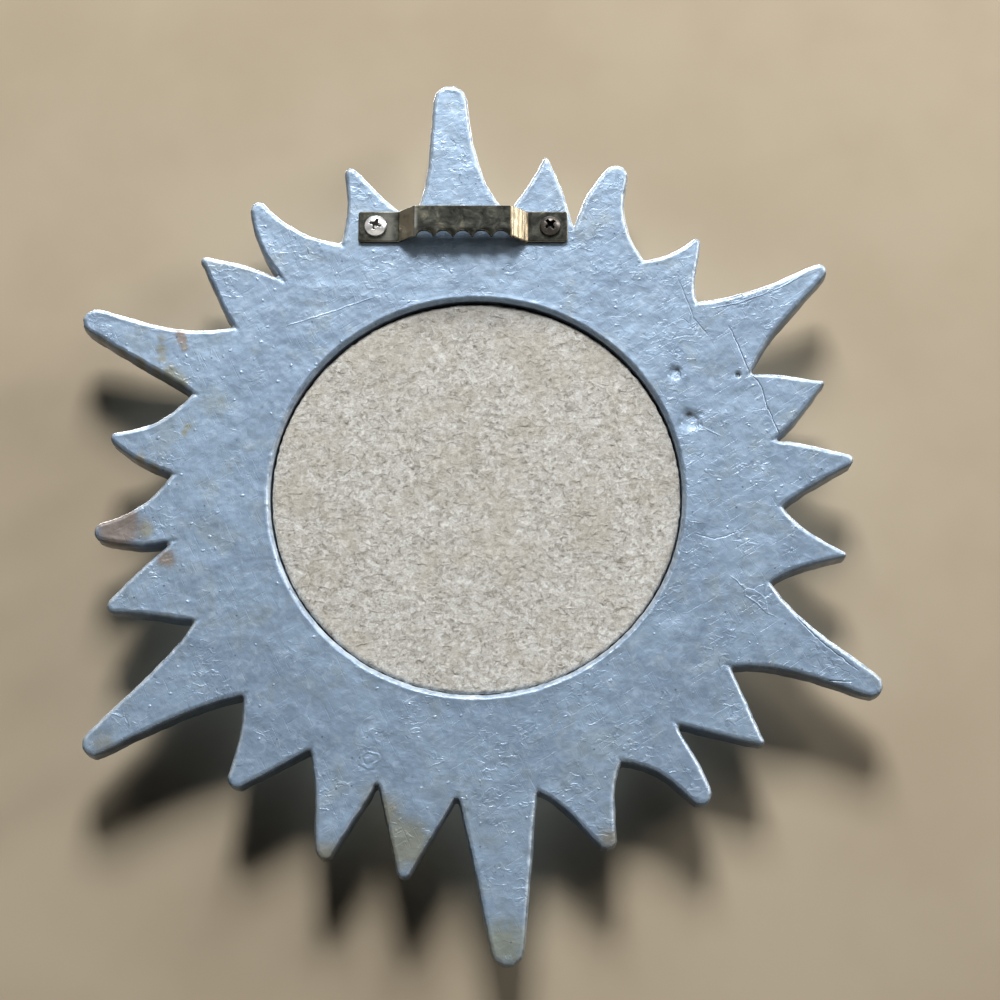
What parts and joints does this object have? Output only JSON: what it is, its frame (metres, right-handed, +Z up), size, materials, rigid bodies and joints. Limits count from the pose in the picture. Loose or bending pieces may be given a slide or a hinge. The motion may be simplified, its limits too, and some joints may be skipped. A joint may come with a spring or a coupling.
{
  "type": "sunburst wall mirror",
  "caption": "Round mirror in a one-piece cast sun frame with ridged rays, felt-backed, hung by a sawtooth hanger on its back.",
  "frame": {"origin": "apex of the hanger notch that the nail sits in, on the wall plane, which is the outer face of the hanger's bridge", "axes": "+Z up as it hangs, +Y towards the wall, so the mirror faces -Y; +X is to the right for someone who looks into the mirror"},
  "size_m": [0.2428, 0.0237, 0.2778],
  "materials": {
    "silver_casting": "thick brushed silver paint over a cast resin body, glossy, worn to brown in places",
    "clear_glass": "clear float glass",
    "silvering": "silver coat with a protective back paint",
    "adhesive": "set clear glue",
    "hardboard": "brown hardboard",
    "grey_felt": "mottled wool felt",
    "antique_brass": "antique brass plate, dark patina",
    "zinc_plate": "bright zinc plate",
    "dark_plate": "dark bronze plate"
  },
  "bodies": {
    "root": {"sun_frame": "silver_casting", "mirror_glass": "clear_glass", "mirror_silvering": "silvering", "mirror_adhesive": "adhesive", "backing_board": "hardboard", "felt_disc": "grey_felt", "sawtooth_hanger": "antique_brass", "hanger_screw_zinc": "zinc_plate", "hanger_screw_dark": "dark_plate"}
  },
  "joints": []
}
